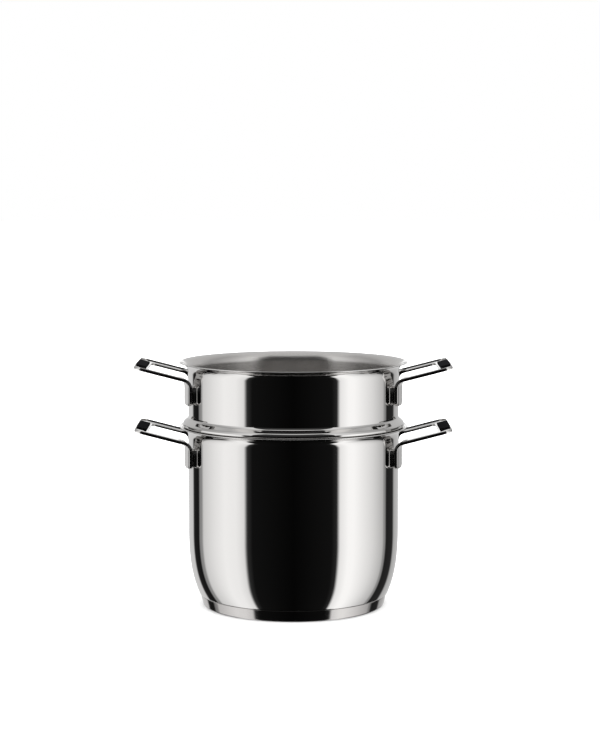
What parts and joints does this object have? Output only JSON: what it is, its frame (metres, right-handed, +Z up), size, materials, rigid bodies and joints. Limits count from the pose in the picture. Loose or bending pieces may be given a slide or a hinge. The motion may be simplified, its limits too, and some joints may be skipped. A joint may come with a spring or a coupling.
{
  "type": "pasta pot",
  "caption": "Round polished steel pasta pot with a capsule base, loop handles of flat bar and a lift-out colander whose perforated basket hangs inside it.",
  "frame": {"origin": "centre of the base's underside, which stands on the floor", "axes": "+X through the right-hand handles, +Y to the back, +Z up"},
  "size_m": [0.301, 0.2194, 0.2353],
  "materials": {
    "polished_steel": "mirror polished stainless steel",
    "handle_steel": "polished stainless steel",
    "base_steel": "fine turned stainless steel",
    "weld_steel": "plain stainless steel",
    "core_aluminium": "plain",
    "inlay_black": "matte"
  },
  "bodies": {
    "pot": {"pot_body": "polished_steel", "base_core": "core_aluminium", "base_cap": "base_steel", "pot_handle_right": "handle_steel", "pot_grip_inlay_right": "inlay_black", "pot_weld_pad_right_a": "weld_steel", "pot_weld_pad_right_b": "weld_steel", "pot_handle_left": "handle_steel", "pot_grip_inlay_left": "inlay_black", "pot_weld_pad_left_a": "weld_steel", "pot_weld_pad_left_b": "weld_steel"},
    "colander": {"colander_body": "polished_steel", "colander_handle_right": "handle_steel", "colander_grip_inlay_right": "inlay_black", "colander_weld_pad_right_a": "weld_steel", "colander_weld_pad_right_b": "weld_steel", "colander_handle_left": "handle_steel", "colander_grip_inlay_left": "inlay_black", "colander_weld_pad_left_a": "weld_steel", "colander_weld_pad_left_b": "weld_steel"}
  },
  "joints": [
    {"name": "colander_lift", "type": "slide", "parent": "pot", "child": "colander", "axis": [0, 0, 1], "range_m": [0, 0.18]}
  ]
}
